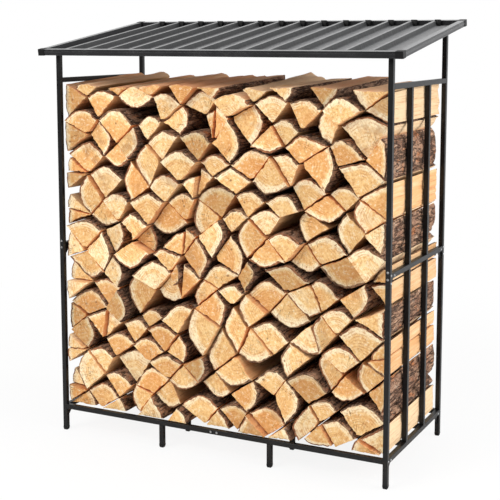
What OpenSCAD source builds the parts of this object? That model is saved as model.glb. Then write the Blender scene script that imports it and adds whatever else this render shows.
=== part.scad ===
// Outdoor log store: an open rack of square steel tube under a ribbed,
// sloping roof, stacked full of split firewood.
// The front faces -Y, the ground is at Z = 0 and the origin lies under
// the middle of the roof.

/* [Rack] */
// Width over the outer faces of the corner posts
rack_w = 1200; // [900:10:1600]
// Depth over the outer faces of the corner posts
rack_d = 540; // [450:5:700]
// Outer size of the square tube
tube = 16; // [12:1:25]
// Radius of the tube's rounded corners
tube_round = 1.5; // [0.5:0.1:3]
// Height of the underside of the base rails
base_z = 77; // [50:1:120]
// Height at which the posts are spliced, the middle of the side mid rails
splice_z = 659; // [500:1:800]
// How far the underside of the top side rails lies below the roof frame
rail_drop = 97; // [50:1:250]
// Distance of the middle legs from the middle of the rack
leg_x = 200; // [120:5:300]

/* [Feet and gussets] */
// Height of the plastic cap under each foot
cap_h = 12; // [8:1:20]
// How far each side of a cap slopes in towards the ground
cap_taper = 1.5; // [0.5:0.1:3]
// Length of the two legs of a corner gusset
gusset_leg = 34; // [20:1:60]
// Thickness of the gusset plate
gusset_t = 2.5; // [1.5:0.1:4]

/* [Roof] */
// Height of the underside of the roof frame above the front of the posts
roof_z = 1313; // [1300:1:1500]
// Slope of the roof, falling to the front
roof_slope = 8.8; // [4:0.1:14]
// How far the roof reaches past the posts on each side
over_side = 43; // [35:1:90]
// How far the roof reaches past the posts in front
over_front = 42; // [35:1:90]
// How far the roof reaches past the posts behind
over_rear = 65; // [35:1:110]
// Height and width of the bars of the roof frame
roof_tube = 20; // [16:1:25]
// Depth of the two grooves along the outer face of each roof bar
groove_d = 1.2; // [0.5:0.1:2]
// Height of the bead between the grooves
bead_h = 6; // [3:0.5:8]
// Height of the lips above and below the grooves
lip_h = 1.5; // [1:0.1:2.5]
// How far the corner blocks stand proud of the roof tube
block_proud = 1; // [0.5:0.1:3]
// Length of each corner block along the roof's edge
block_len = 24; // [22:1:40]
// Thickness of the two flat bearers under the roof sheet
bearer_t = 2.5; // [1.5:0.1:4]
// Width of the bearers
bearer_w = 30; // [20:1:50]
// Number of ribs across the roof sheet
rib_count = 14; // [6:1:20]
// Width of a rib at its crest
rib_crest = 10; // [6:1:24]
// How far each side of a rib runs out at its foot
rib_flare = 5; // [2:1:10]
// Thickness of the roof sheet
sheet_t = 0.8; // [0.5:0.1:2]
// Clearance between the sheet and the roof tubes
sheet_gap = 0.3; // [0.2:0.1:1]

/* [Firewood] */
// How much shorter the logs are than the rack is deep
log_short = 56; // [30:1:160]
// Mean width of the places for logs along a course
log_pitch = 130; // [110:1:190]
// Width of the places at the two sides of the stack, as a share of the others
edge_share = 0.65; // [0.5:0.01:1]
// How far the stack rises above the underside of the top side rails
stack_over = 5; // [-40:1:40]
// How far the corners between the logs are moved at random, as a share of the
// height of a course
corner_shake = 0.168; // [0:0.001:0.18]
// How far the courses swell up and down across the stack
swell = 26; // [0:1:40]
// Share of the places that hold two narrower logs
parted_share = 0.08; // [0:0.01:1]
// The same for the places at the two sides
edge_parted = 0.45; // [0:0.01:1]
// How far the ends of the logs vary in depth
end_shift = 36; // [0:1:45]
// Distance of the foremost log ends from the front of the posts
log_inset = 6; // [2:1:40]
// Play between neighbouring logs
log_gap = 0.5; // [0.3:0.1:0.9]
// How flat the bark side may be, from 0 for a true arc to 1 for a flat side
bark_flat = 0.5; // [0.05:0.05:0.8]
// Largest part that is missing at the heart of a log
heart_loss = 0.16; // [0:0.01:0.35]
// Number of facets round the bark side
bark_steps = 7; // [3:1:12]
// Share of the logs that lie with the bark side up
bark_up = 0.5; // [0:0.05:1]
// Number that picks the arrangement of the logs
log_seed = 7; // [1:1:99]

/* [Hidden] */
// Courses of firewood, each with two rows of logs
courses = 10;

// Faces of the rack
half_w = rack_w / 2;
y_front = -(rack_d + over_rear - over_front) / 2;
y_rear = y_front + rack_d;
floor_z = base_z + tube;
top_rail_z = roof_z - rail_drop;
// Depths of the front faces of the four rows of base rails
row_step = (rack_d - tube) / 3;
function row_y(i) = y_front + i * row_step;

// The roof is drawn level, with the lower front edge of its frame on the
// X axis, and is then tilted and moved to its place.
block_h = roof_tube + 2 * block_proud;
roof_w = rack_w + 2 * over_side - 2 * block_proud;
roof_front_y = y_front - over_front + block_proud + roof_tube * sin(roof_slope);
roof_len = (y_rear + over_rear - block_proud - roof_front_y) / cos(roof_slope);
roof_front_z = roof_z + (roof_front_y - y_front) * tan(roof_slope);
rib_h = roof_tube - bearer_t - sheet_t;
rib_pitch = (roof_w - 2 * roof_tube) / (rib_count + 1);

frame_black = [0.11, 0.11, 0.12];
roof_grey = [0.30, 0.31, 0.32];
plastic_black = [0.06, 0.06, 0.06];
wood_cream = [0.86, 0.70, 0.45];

module block(x0, x1, y0, y1, z0, z1) {
    translate([x0, y0, z0]) cube([x1 - x0, y1 - y0, z1 - z0]);
}

// Section of the square tube with its rounded corners, from the origin
module tube_section() {
    r = tube_round;
    translate([r, 0]) square([tube - 2 * r, tube]);
    translate([0, r]) square([tube, tube - 2 * r]);
    for (x = [r, tube - r], y = [r, tube - r]) translate([x, y]) circle(r, $fn = 24);
}

// Tubes along X, Y and Z, given by their low corner and their length
module tube_x(x, y, z, len) {
    translate([x, y, z]) rotate([90, 0, 90]) linear_extrude(len) tube_section();
}
module tube_y(x, y, z, len) {
    translate([x, y + len, z]) rotate([90, 0, 0]) linear_extrude(len) tube_section();
}
module tube_z(x, y, z, len) {
    translate([x, y, z]) linear_extrude(len) tube_section();
}

module tilt_roof() {
    translate([0, roof_front_y, roof_front_z]) rotate([roof_slope, 0, 0]) children();
}

// A piece drawn at the right-hand side, put at side s, -1 left or 1 right
module at_side(s) {
    if (s > 0) children();
    else mirror([1, 0, 0]) children();
}

// Posts: s is the side, r is 0 in front and 1 behind
function post_y(r) = r == 0 ? y_front : y_rear - tube;

module post_lower(s, r) {
    color(frame_black) at_side(s)
        tube_z(half_w - tube, post_y(r), cap_h, splice_z - cap_h);
}

// The upper half is cut off along the slope of the bearer that it carries
module post_upper(s, r) {
    y = post_y(r);
    z0 = roof_z + (y - y_front) * tan(roof_slope);
    z1 = z0 + tube * tan(roof_slope);
    color(frame_black) at_side(s) intersection() {
        tube_z(half_w - tube, y, splice_z, z1 - splice_z);
        translate([half_w - tube - 1, 0, 0]) rotate([90, 0, 90])
            linear_extrude(tube + 2)
                polygon([[y, splice_z - 1], [y + tube, splice_z - 1],
                    [y + tube, z1], [y, z0]]);
    }
}

module side_rail(s, z) {
    color(frame_black) at_side(s)
        tube_y(half_w - tube, y_front + tube, z, rack_d - 2 * tube);
}

// The two bars that divide the side between two rails
module side_bars(s, z0, z1) {
    color(frame_black) at_side(s) for (i = [1, 2])
        tube_z(half_w - tube, row_y(i), z0, z1 - z0);
}

// One row of base rail from x0 to x1
module base_rail(i, x0, x1) {
    color(frame_black) tube_x(x0, row_y(i), base_z, x1 - x0);
}

module middle_legs(i) {
    color(frame_black) for (s = [-1, 1])
        tube_z(s * leg_x - tube / 2, row_y(i), cap_h, base_z - cap_h);
}

// A cap that tapers towards the ground, with its centre at x, y
module foot_cap(x, y) {
    a = tube / 2;
    b = a - cap_taper;
    side = [[-b, 0], [b, 0], [a, cap_h * 0.6], [a, cap_h], [-a, cap_h], [-a, cap_h * 0.6]];
    translate([x, y, 0]) intersection() {
        rotate([90, 0, 0]) linear_extrude(tube, center = true) polygon(side);
        rotate([90, 0, 90]) linear_extrude(tube, center = true) polygon(side);
    }
}

module foot_caps() {
    color(plastic_black) {
        for (s = [-1, 1], r = [0, 1])
            foot_cap(s * (half_w - tube / 2), post_y(r) + tube / 2);
        for (s = [-1, 1], i = [0:3])
            foot_cap(s * leg_x, row_y(i) + tube / 2);
    }
}

// A triangular plate under a rail against a post, in the plane of the side.
// It tapers from its full width at the top to a point at the post.
module gusset(r, z) {
    y = r == 0 ? y_front + tube : y_rear - tube;
    d = r == 0 ? gusset_leg : -gusset_leg;
    translate([half_w - tube / 2 - gusset_t / 2, 0, 0])
        rotate([90, 0, 90]) linear_extrude(gusset_t)
            polygon([[y, z], [y + d, z], [y, z - gusset_leg]]);
}

module base_gussets() {
    color(frame_black) for (s = [-1, 1], r = [0, 1]) at_side(s) gusset(r, base_z);
}

module splice_gussets() {
    color(frame_black) for (s = [-1, 1], r = [0, 1])
        at_side(s) gusset(r, splice_z - tube / 2);
}

// Roof frame. Section of a bar with its grooved outer face towards -X
module roof_section() {
    t = roof_tube;
    g = groove_d;
    b0 = (t - bead_h) / 2;
    b1 = t - b0;
    polygon([[0, 0], [t, 0], [t, t], [0, t], [0, t - lip_h], [g, t - lip_h],
        [g, b1], [0, b1], [0, b0], [g, b0], [g, lip_h], [0, lip_h]]);
}

// A bar along X from x0 to x1, in front for r = 0 and behind for r = 1
module roof_cross_bar(r, x0, x1) {
    y = r == 0 ? 0 : roof_len;
    color(frame_black) tilt_roof() translate([x0, y, 0]) mirror([0, r, 0])
        rotate([90, 0, 90]) linear_extrude(x1 - x0) roof_section();
}

module roof_side_bar(s) {
    y0 = block_len - block_proud;
    color(frame_black) tilt_roof() at_side(s)
        translate([roof_w / 2, roof_len - y0, 0]) mirror([1, 0, 0])
            rotate([90, 0, 0]) linear_extrude(roof_len - 2 * y0) roof_section();
}

// An L-shaped block that joins two roof tubes and stands proud of both
module roof_corner_blocks() {
    p = block_proud;
    w = roof_w / 2;
    color(plastic_black) tilt_roof() for (s = [-1, 1], r = [0, 1]) at_side(s)
        translate([w + p, r == 0 ? -p : roof_len + p, -p])
            mirror([0, r, 0]) mirror([1, 0, 0]) linear_extrude(block_h)
                square([block_len, block_len]);
}

// Section of the ribbed sheet: valleys on the bearers, crests level with
// the top of the frame
function rib_edge(z, grow) = [for (i = [1:rib_count])
    let (x = -roof_w / 2 + roof_tube + i * rib_pitch, c = rib_crest / 2)
        each [[x - c - rib_flare - grow, z], [x - c - grow, z + rib_h],
              [x + c + grow, z + rib_h], [x + c + rib_flare + grow, z]]];

module roof_sheet() {
    e = roof_w / 2 - roof_tube - sheet_gap;
    z = bearer_t;
    low = [for (p = rib_edge(z, 0)) p];
    high = [for (p = rib_edge(z + sheet_t, sheet_t * 0.75)) p];
    n = len(high) - 1;
    back = [for (i = [n:-1:0]) high[i]];
    color(roof_grey) tilt_roof()
        translate([0, roof_len - roof_tube - sheet_gap, 0]) rotate([90, 0, 0])
            linear_extrude(roof_len - 2 * roof_tube - 2 * sheet_gap)
                polygon(concat([[-e, z]], low, [[e, z], [e, z + sheet_t]], back,
                    [[-e, z + sheet_t]]));
}

// A flat bearer on the post tops, between the front and rear bars
module roof_bearer(s) {
    color(frame_black) tilt_roof() at_side(s)
        block(half_w - bearer_w, half_w, roof_tube, roof_len - roof_tube, 0, bearer_t);
}

// Firewood. The face of the stack is a net of shaken points on level lines, two
// lines to a course. The points of every second line lie half a step aside, so
// four of them make a diamond, the place of one split log. The log has two flat
// sides from its heart at one corner, and bark round the others. At the floor,
// the top and both sides the places are halves of diamonds, with three corners.
log_len = rack_d - log_short;
stack_x = half_w - tube - log_gap;
places = max(3, round(2 * stack_x / log_pitch));
step_x = 2 * stack_x / (places - 1 + 2 * edge_share);
last_line = 2 * courses - 2;
course_h = (top_rail_z + stack_over - floor_z - log_gap) / (courses - 1);
shake_by = corner_shake * min(course_h, step_x);

// n numbers from -1 to 1 for line k
function shake(k, n, what) = rands(-1, 1, n, log_seed * 1000 + k * 10 + what);

// Points of line k. Even lines have points at both sides of the stack too.
function net_line(k) =
    let (even = k % 2 == 0, n = places + (even ? 1 : 0),
         a = shake(k, n, 1), b = shake(k, n, 2),
         lift = k == 0 || k == last_line ? 0.3 * k / last_line : 1)
    [for (i = [0:n - 1])
        let (side = even && i == 0 ? -1 : even && i == n - 1 ? 1 : 0,
             x = side != 0 ? side * stack_x
                 : (i - (n - 1) / 2) * step_x + a[i] * shake_by)
        [x, floor_z + log_gap + k * course_h / 2 + b[i] * lift * shake_by
            + swell * sin(230 * x / stack_x + 40) * sin(180 * k / last_line)]];

floor_line = net_line(0);
// Places of row k as lists of corners anticlockwise, the lowest first. Row -1
// stands on the floor, and the last one is the top of the stack.
function row_places(k) =
    let (even = k % 2 == 0, below = k < 0 ? [] : net_line(k), mid = k < 0 ? [] : net_line(k + 1),
         above = k + 2 > last_line ? [] : net_line(k + 2))
    k < 0 ? [for (i = [0:places - 1]) [floor_line[i], floor_line[i + 1], net_line(1)[i]]]
    : k == last_line - 1 ? [for (i = [0:places - 1]) [below[i], mid[i + 1], mid[i]]]
    : even ? [for (i = [0:places])
        i == 0 ? [below[0], mid[0], above[0]]
        : i == places ? [below[i], above[i], mid[i - 1]]
        : [below[i], mid[i], above[i], mid[i - 1]]]
    : [for (i = [0:places - 1]) [below[i], mid[i + 1], above[i], mid[i]]];

function dist(a, b) = norm(b - a);
function outer(p) = p[0] < 1 - stack_x ? -1 : p[0] > stack_x - 1 ? 1 : 0;
// Whether two corners of a place lie at a side of the stack: -1 left, 1 right
function at_edge(c) =
    let (sides = [for (p = c) if (outer(p) != 0) outer(p)])
    len(sides) == 2 ? sides[0] : 0;

// A place as it is, or parted in two from corner to corner, or at the sides of
// the stack from the corner inside to the middle of the outer side
function parted(c, pick) =
    len(c) == 4 ? (pick < parted_share ? [[c[0], c[1], c[2]], [c[0], c[2], c[3]]] : [c])
    : at_edge(c) == 0 || pick > edge_parted ? [c]
    : let (m = (at_edge(c) < 0 ? c[0] + c[2] : c[0] + c[1]) / 2)
      at_edge(c) < 0 ? [[c[0], c[1], m], [m, c[1], c[2]]] : [[c[0], m, c[2]], [m, c[1], c[2]]];
function course_places(k) =
    [for (row = [2 * k - 1, 2 * k]) if (row < last_line)
        let (all = row_places(row),
             pick = rands(0, 1, len(all), log_seed * 1000 + row * 10 + 8))
        for (i = [0:len(all) - 1]) each parted(all[i], pick[i])];

// Corner p between a before and b after it, drawn in by g from both sides
function inner_corner(a, p, b, g) =
    let (u = (p - a) / dist(a, p), v = (b - p) / dist(p, b),
         m = [-u[1], u[0]], n = [-v[1], v[0]])
    p + (m + n) * g / (1 + m * n);
function draw_in(c, g) =
    let (n = len(c))
    [for (i = [0:n - 1]) inner_corner(c[(i + n - 1) % n], c[i], c[(i + 1) % n], g)];

// Angle at corner h of place c
function angle_at(c, h) =
    let (n = len(c), u = c[(h + 1) % n] - c[h], v = c[(h + n - 1) % n] - c[h])
    acos(u * v / norm(u) / norm(v));
// How far one can go from corner h of place c, turned by q from the next
// corner, before meeting the sides that don't touch the corner
function reach(c, h, q) =
    let (n = len(c), a = c[h], start = atan2(c[(h + 1) % n][1] - a[1], c[(h + 1) % n][0] - a[0]),
         d = [cos(start + q), sin(start + q)])
    min([for (i = [1:n - 2])
        let (p = c[(h + i) % n], s = c[(h + i + 1) % n] - p,
             along = d[0] * s[1] - d[1] * s[0])
        along > 0.001 ? ((p[0] - a[0]) * s[1] - (p[1] - a[1]) * s[0]) / along : 10000]);
// Distance of the round bark side from corner h, a share t of the way round.
// It runs from the length of one flat side to that of the other, but stays
// nearly round where it would meet an outer side of the stack.
function bark_radius(c, h, t) =
    let (n = len(c), span = angle_at(c, h),
         least = n == 4 ? 1000 : min([for (i = [0:8]) reach(c, h, span * i / 8)]))
    min(dist(c[h], c[(h + 1) % n]) * (1 - t) + dist(c[h], c[(h + n - 1) % n]) * t,
        reach(c, h, span * t), 1.06 * least);
// How round a log with its heart at corner h can be in place c, from 0 to 1
function fill(c, h) =
    let (r = [for (i = [0:8]) bark_radius(c, h, i / 8)])
    min(r) / max(r);

// At the left side of the stack the bark faces outwards, and at the right side
// it does so in every other course. Elsewhere a share of the logs has it facing
// up, with the heart at the lowest corner, and the others any way that fills
// the place well.
function heart_of(c, k, pick) =
    let (n = len(c), side = at_edge(c),
         inside = [for (h = [0:n - 1]) if (outer(c[h]) == 0) h],
         outside = [for (h = [0:n - 1]) if (outer(c[h]) != 0) h],
         best = max([for (h = [0:n - 1]) fill(c, h)]),
         good = [for (h = [0:n - 1])
             if (fill(c, h) > min(0.7, best - 0.001) && angle_at(c, h) < 125) h])
    side < 0 || (side > 0 && k % 2 == 1) ? inside[0]
    : side > 0 ? outside[floor(pick * len(outside))]
    : pick < bark_up && angle_at(c, 0) < 130 && fill(c, 0) > 0.6 ? 0
    : len(good) == 0 ? 0
    : good[floor((pick * 97) % 1 * len(good))];

// Outline of a log in place c with its heart at corner h. flat says how flat
// the bark side is, and loss how much of the heart is missing.
function log_outline(c, h, flat, loss) =
    let (n = len(c), a = c[h], b = c[(h + 1) % n],
         start = atan2(b[1] - a[1], b[0] - a[0]), span = angle_at(c, h),
         arc = [for (i = [0:bark_steps])
             let (t = i / bark_steps, r = bark_radius(c, h, t),
                  far = min(reach(c, h, span * t), 1.3 * r), turn = start + span * t)
             a + (r + flat * (far - r)) * [cos(turn), sin(turn)]],
         tip = loss < 0.06 ? [a]
             : [a + (arc[bark_steps] - a) * loss * 0.8, a + (arc[0] - a) * loss])
    concat(tip, arc);

module firewood_course(k) {
    all = course_places(k);
    n = len(all);
    seed = log_seed * 1000 + k * 10;
    shift = rands(0, end_shift, n, seed + 4);
    pick = rands(0, 0.999, n, seed + 5);
    flat = rands(bark_flat / 3, bark_flat, n, seed + 6);
    loss = rands(-0.5 * heart_loss, heart_loss, n, seed + 7);
    color(wood_cream) for (i = [0:n - 1])
        translate([0, y_front + log_inset + shift[i] + log_len, 0])
            rotate([90, 0, 0]) linear_extrude(log_len)
                polygon(log_outline(draw_in(all[i], log_gap / 2),
                    heart_of(all[i], k, pick[i]), flat[i], loss[i]));
}

post_lower(-1, 0);  // post_front_left_lower
post_lower(1, 0);  // post_front_right_lower
post_lower(-1, 1);  // post_rear_left_lower
post_lower(1, 1);  // post_rear_right_lower
post_upper(-1, 0);  // post_front_left_upper
post_upper(1, 0);  // post_front_right_upper
post_upper(-1, 1);  // post_rear_left_upper
post_upper(1, 1);  // post_rear_right_upper
side_rail(-1, base_z);  // side_rail_left_bottom
side_rail(-1, splice_z - tube / 2);  // side_rail_left_mid
side_rail(-1, top_rail_z);  // side_rail_left_top
side_rail(1, base_z);  // side_rail_right_bottom
side_rail(1, splice_z - tube / 2);  // side_rail_right_mid
side_rail(1, top_rail_z);  // side_rail_right_top
side_bars(-1, floor_z, splice_z - tube / 2);  // side_bars_left_lower
side_bars(-1, splice_z + tube / 2, top_rail_z);  // side_bars_left_upper
side_bars(1, floor_z, splice_z - tube / 2);  // side_bars_right_lower
side_bars(1, splice_z + tube / 2, top_rail_z);  // side_bars_right_upper
base_rail(0, -half_w + tube, 0);  // front_rail_left
base_rail(0, 0, half_w - tube);  // front_rail_right
base_rail(3, -half_w + tube, 0);  // rear_rail_left
base_rail(3, 0, half_w - tube);  // rear_rail_right
base_rail(1, -half_w + tube, half_w - tube);  // floor_rail_front
base_rail(2, -half_w + tube, half_w - tube);  // floor_rail_rear
middle_legs(0);  // middle_legs_front
middle_legs(1);  // middle_legs_floor_front
middle_legs(2);  // middle_legs_floor_rear
middle_legs(3);  // middle_legs_rear
foot_caps();
base_gussets();
splice_gussets();
roof_cross_bar(0, -roof_w / 2 + block_len - block_proud, 0);  // roof_front_bar_left
roof_cross_bar(0, 0, roof_w / 2 - block_len + block_proud);  // roof_front_bar_right
roof_cross_bar(1, -roof_w / 2 + block_len - block_proud, 0);  // roof_rear_bar_left
roof_cross_bar(1, 0, roof_w / 2 - block_len + block_proud);  // roof_rear_bar_right
roof_side_bar(-1);  // roof_side_bar_left
roof_side_bar(1);  // roof_side_bar_right
roof_corner_blocks();
roof_sheet();
roof_bearer(-1);  // roof_bearer_left
roof_bearer(1);  // roof_bearer_right
firewood_course(0);  // firewood_course_01
firewood_course(1);  // firewood_course_02
firewood_course(2);  // firewood_course_03
firewood_course(3);  // firewood_course_04
firewood_course(4);  // firewood_course_05
firewood_course(5);  // firewood_course_06
firewood_course(6);  // firewood_course_07
firewood_course(7);  // firewood_course_08
firewood_course(8);  // firewood_course_09
firewood_course(9);  // firewood_course_10
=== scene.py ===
"""Looks of a log store: an open steel rack under a ribbed roof, stacked with split firewood.

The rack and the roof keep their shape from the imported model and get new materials. Each
course of firewood is replaced by one piece whose logs have torn, barked and sawn faces."""
import math

import bmesh
import bpy
import numpy as np
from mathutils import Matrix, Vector


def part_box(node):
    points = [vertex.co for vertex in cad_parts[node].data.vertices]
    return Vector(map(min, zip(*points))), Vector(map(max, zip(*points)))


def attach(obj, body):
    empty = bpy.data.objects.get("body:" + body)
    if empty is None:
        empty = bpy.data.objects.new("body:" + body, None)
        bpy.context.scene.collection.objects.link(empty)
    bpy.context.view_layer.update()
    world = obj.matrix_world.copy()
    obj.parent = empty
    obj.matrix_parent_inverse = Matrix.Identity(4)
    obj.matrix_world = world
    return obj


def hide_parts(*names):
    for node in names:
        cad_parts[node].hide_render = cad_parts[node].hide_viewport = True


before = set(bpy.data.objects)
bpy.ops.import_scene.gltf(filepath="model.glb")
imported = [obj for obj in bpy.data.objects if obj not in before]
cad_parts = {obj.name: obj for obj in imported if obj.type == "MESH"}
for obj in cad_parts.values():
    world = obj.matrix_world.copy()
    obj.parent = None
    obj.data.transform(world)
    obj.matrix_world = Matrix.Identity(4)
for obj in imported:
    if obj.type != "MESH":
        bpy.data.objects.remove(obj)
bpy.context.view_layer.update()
scene = bpy.context.scene


def srgb(red, green, blue):
    """A linear colour with alpha from 0 to 255 values of a screen colour."""
    def linear(c):
        c /= 255
        return c / 12.92 if c <= 0.04045 else ((c + 0.055) / 1.055) ** 2.4
    return linear(red), linear(green), linear(blue), 1.0


def link(data, name):
    """A new object with this data in the scene."""
    made = bpy.data.objects.new(name, data)
    scene.collection.objects.link(made)
    return made


# Edges that turn further than this, in degrees, stay sharp: on logs and on small pieces
LOG_SHARP = 42
SMALL_SHARP = 35


def add_piece(name, verts, faces, materials, sharp):
    """A smooth-shaded mesh with sharp edges, as a piece that rides on the rack."""
    mesh = bpy.data.meshes.new(name)
    mesh.from_pydata(verts, [], faces)
    for material in materials:
        mesh.materials.append(material)
    mesh.shade_smooth()
    mesh.set_sharp_from_angle(angle=math.radians(sharp))
    piece = link(mesh, name)
    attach(piece, "root")
    return piece


# Camera, fitted to the corners of the rack and the roof in the photograph
CAMERA_AT = (1.7087, -3.4225, 1.3699)
CAMERA_FORWARD = (-0.44501, 0.88726, -0.12139)
SENSOR_WIDTH = 36
FOCAL_LENGTH = 81.53
SHIFT = -0.15


def make_camera():
    """The camera at the photograph's viewing angle."""
    data = bpy.data.cameras.new("camera")
    data.sensor_width = SENSOR_WIDTH
    data.lens = FOCAL_LENGTH
    data.shift_y = SHIFT
    camera = link(data, "camera")
    camera.location = CAMERA_AT
    camera.rotation_mode = "QUATERNION"
    camera.rotation_quaternion = Vector(CAMERA_FORWARD).to_track_quat("-Z", "Y")
    scene.camera = camera


# Materials
class Nodes:
    """Short calls that add nodes to a tree. Each value may be a number, a vector or a
    colour, or the output of another node."""

    def __init__(self, tree):
        self.nodes = tree.nodes
        self.links = tree.links

    def put(self, value, socket):
        """Sets a socket, or links an output to it."""
        if isinstance(value, bpy.types.NodeSocket):
            self.links.new(value, socket)
        else:
            socket.default_value = value

    def node(self, kind, sockets=None, out=0, **settings):
        """One output of a new node."""
        made = self.nodes.new("ShaderNode" + kind)
        for key, value in settings.items():
            setattr(made, key, value)
        for key, value in (sockets or {}).items():
            self.put(value, made.inputs[key])
        return made.outputs[out]

    def math(self, operation, a, b=0.0, c=0.0):
        return self.node("Math", {0: a, 1: b, 2: c}, operation=operation)

    def plus(self, a, b):
        return self.math("ADD", a, b)

    def less(self, a, b):
        return self.math("SUBTRACT", a, b)

    def times(self, a, b):
        return self.math("MULTIPLY", a, b)

    def line(self, value, slope, start):
        """value * slope + start."""
        return self.math("MULTIPLY_ADD", value, slope, start)

    def between(self, value, low, high, to_low=0.0, to_high=1.0):
        """value taken from low..high to to_low..to_high along a smooth step."""
        return self.node("MapRange", {0: value, 1: low, 2: high, 3: to_low, 4: to_high},
                         interpolation_type="SMOOTHSTEP")

    def parts(self, vector):
        """The three numbers of a vector or colour."""
        split = self.nodes.new("ShaderNodeSeparateXYZ")
        self.put(vector, split.inputs[0])
        return split.outputs

    def join(self, x, y, z=0.0):
        return self.node("CombineXYZ", {0: x, 1: y, 2: z})


class Shader(Nodes):
    """A material round one Principled BSDF, whose constants are given by socket name."""

    def __init__(self, name, **constants):
        self.material = bpy.data.materials.new(name)
        self.material.use_nodes = True
        super().__init__(self.material.node_tree)
        self.bsdf = self.nodes["Principled BSDF"]
        for socket, value in constants.items():
            self.bsdf.inputs[socket.replace("_", " ")].default_value = value

    def attribute(self, name, out="Vector"):
        return self.node("Attribute", out=out, attribute_name=name, attribute_type="GEOMETRY")

    def position(self):
        """Place on the object in metres, which is the place in the frame."""
        return self.node("TexCoord", out="Object")

    def facing_up(self):
        """1 where a face looks up, -1 where it looks down."""
        return self.parts(self.node("NewGeometry", out="Normal"))[2]

    def length(self, vector):
        return self.node("VectorMath", {0: vector, 1: (0, 0, 0)}, out="Value", operation="LENGTH")

    def noise(self, vector, scale=1.0, detail=3.0, rough=0.5, warp=0.0):
        """Noise from 0 to 1 with scale lumps to a metre."""
        return self.node("TexNoise", {"Vector": vector, "Scale": scale, "Detail": detail,
                                      "Roughness": rough, "Distortion": warp})

    def mix(self, factor, a, b, blend="MIX"):
        """Colour a with factor of colour b over it."""
        made = self.nodes.new("ShaderNodeMix")
        made.data_type = "RGBA"
        made.blend_type = blend
        for value, index in ((factor, 0), (a, 6), (b, 7)):
            self.put(value, made.inputs[index])
        return made.outputs[2]

    def lighten(self, colour, lightness):
        """colour times a log's own lightness."""
        return self.mix(1.0, colour, self.join(lightness, lightness, lightness), "MULTIPLY")

    def bump(self, height, distance, normal=None):
        """A normal shifted by a height of 0 to 1 that is worth distance metres."""
        sockets = {"Height": height, "Distance": distance, "Strength": 1.0}
        if normal is not None:
            sockets["Normal"] = normal
        return self.node("Bump", sockets)

    def finish(self, colour, roughness, normal):
        """Links the three main sockets and gives the material."""
        self.put(colour, self.bsdf.inputs["Base Color"])
        self.put(roughness, self.bsdf.inputs["Roughness"])
        self.put(normal, self.bsdf.inputs["Normal"])
        return self.material


def powder_coat(name, colour, dusty, roughness, sheen=0.0):
    """Painted steel with the fine orange peel of a powder coat and a trace of dust."""
    s = Shader(name, Specular_IOR_Level=0.3, Sheen_Weight=sheen, Sheen_Roughness=0.35)
    at = s.position()
    peel = s.noise(at, 900, 2, 0.4)
    cloud = s.noise(at, 6, 4, 0.6)
    grain = s.noise(at, 260, 2, 0.5)
    dust = s.times(s.between(cloud, 0.42, 0.72), s.between(grain, 0.35, 0.7))
    gloss = s.plus(s.times(cloud, 0.16), roughness - 0.08)
    return s.finish(s.mix(dust, colour, dusty), gloss, s.bump(peel, 0.00012))


# How close to its end the roof sheet's last points lie, and a height below that of a rib
SHEET_END = 0.0045
LOW_RIB = 0.005


def roof_pans():
    """A point on top of the roof sheet's flat parts at its front edge, and one at its rear."""
    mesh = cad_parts["roof_sheet"].data
    found = []
    for sign in (-1, 1):
        edge = max(sign * v.co.y for v in mesh.vertices) - SHEET_END
        near = [v.co for v in mesh.vertices if sign * v.co.y > edge]
        bottom = min(c.z for c in near)
        flat = [c for c in near if c.z < bottom + LOW_RIB]
        found.append(max(flat, key=lambda c: c.z))
    return found


def roof_paint():
    """Painted sheet steel: satin, with dust that lights up at grazing angles, pale dust and a
    painted reflection in the pans, and a pale grey backing coat on the underside."""
    s = Shader("roof_paint", Specular_IOR_Level=0.5, Sheen_Weight=0.5, Sheen_Roughness=0.35)
    x, y, z = s.parts(s.position())
    front, rear = roof_pans()
    slope = (rear.z - front.z) / (rear.y - front.y)
    above_pan = s.less(z, s.line(y, slope, front.z - slope * front.y))
    rolls = s.noise(s.join(s.times(x, 60), s.times(y, 5), s.times(z, 5)), 1, 3, 0.5)
    waves = s.noise(s.join(s.times(x, 14), s.times(y, 40)), 1, 2, 0.5, 0.6)
    peel = s.noise(s.position(), 700, 2, 0.4)
    cloud = s.noise(s.position(), 4, 4, 0.6)
    colour = s.mix(s.between(rolls, 0.3, 0.75), srgb(22, 23, 25), srgb(33, 34, 36))
    colour = s.mix(s.between(cloud, 0.45, 0.75), colour, srgb(46, 46, 47))
    # The pans are lighter than the ribs: partly dust that settles there, partly a painted
    # reflection of the bright room at grazing angles
    pan_dust_and_reflection = s.between(above_pan, 0.004, 0.001, 0.0, 0.85)
    dust = s.mix(cloud, srgb(90, 90, 92), srgb(112, 112, 114))
    colour = s.mix(pan_dust_and_reflection, colour, dust)
    backing = s.mix(cloud, srgb(156, 156, 153), srgb(172, 172, 169))
    colour = s.mix(s.between(s.facing_up(), -0.6, -0.8), colour, backing)
    gloss = s.line(cloud, 0.1, 0.45)
    rough = s.bump(peel, 0.00008)
    return s.finish(colour, gloss, s.bump(waves, 0.0012, rough))


def moulded_plastic():
    """Black plastic with a fine grain."""
    s = Shader("moulded_plastic", Specular_IOR_Level=0.25)
    at = s.position()
    grain = s.noise(at, 1400, 2, 0.6)
    cloud = s.noise(at, 20, 3, 0.5)
    colour = s.mix(cloud, srgb(7, 7, 8), srgb(17, 17, 18))
    gloss = s.line(grain, 0.2, 0.42)
    return s.finish(colour, gloss, s.bump(grain, 0.0002))


def zinc():
    """Zinc plating of the screws."""
    s = Shader("zinc", Metallic=1.0)
    spangle = s.noise(s.position(), 500, 2, 0.5)
    colour = s.mix(spangle, srgb(150, 152, 156), srgb(196, 196, 196))
    gloss = s.line(spangle, 0.2, 0.22)
    return s.finish(colour, gloss, s.bump(spangle, 0.0001))


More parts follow.
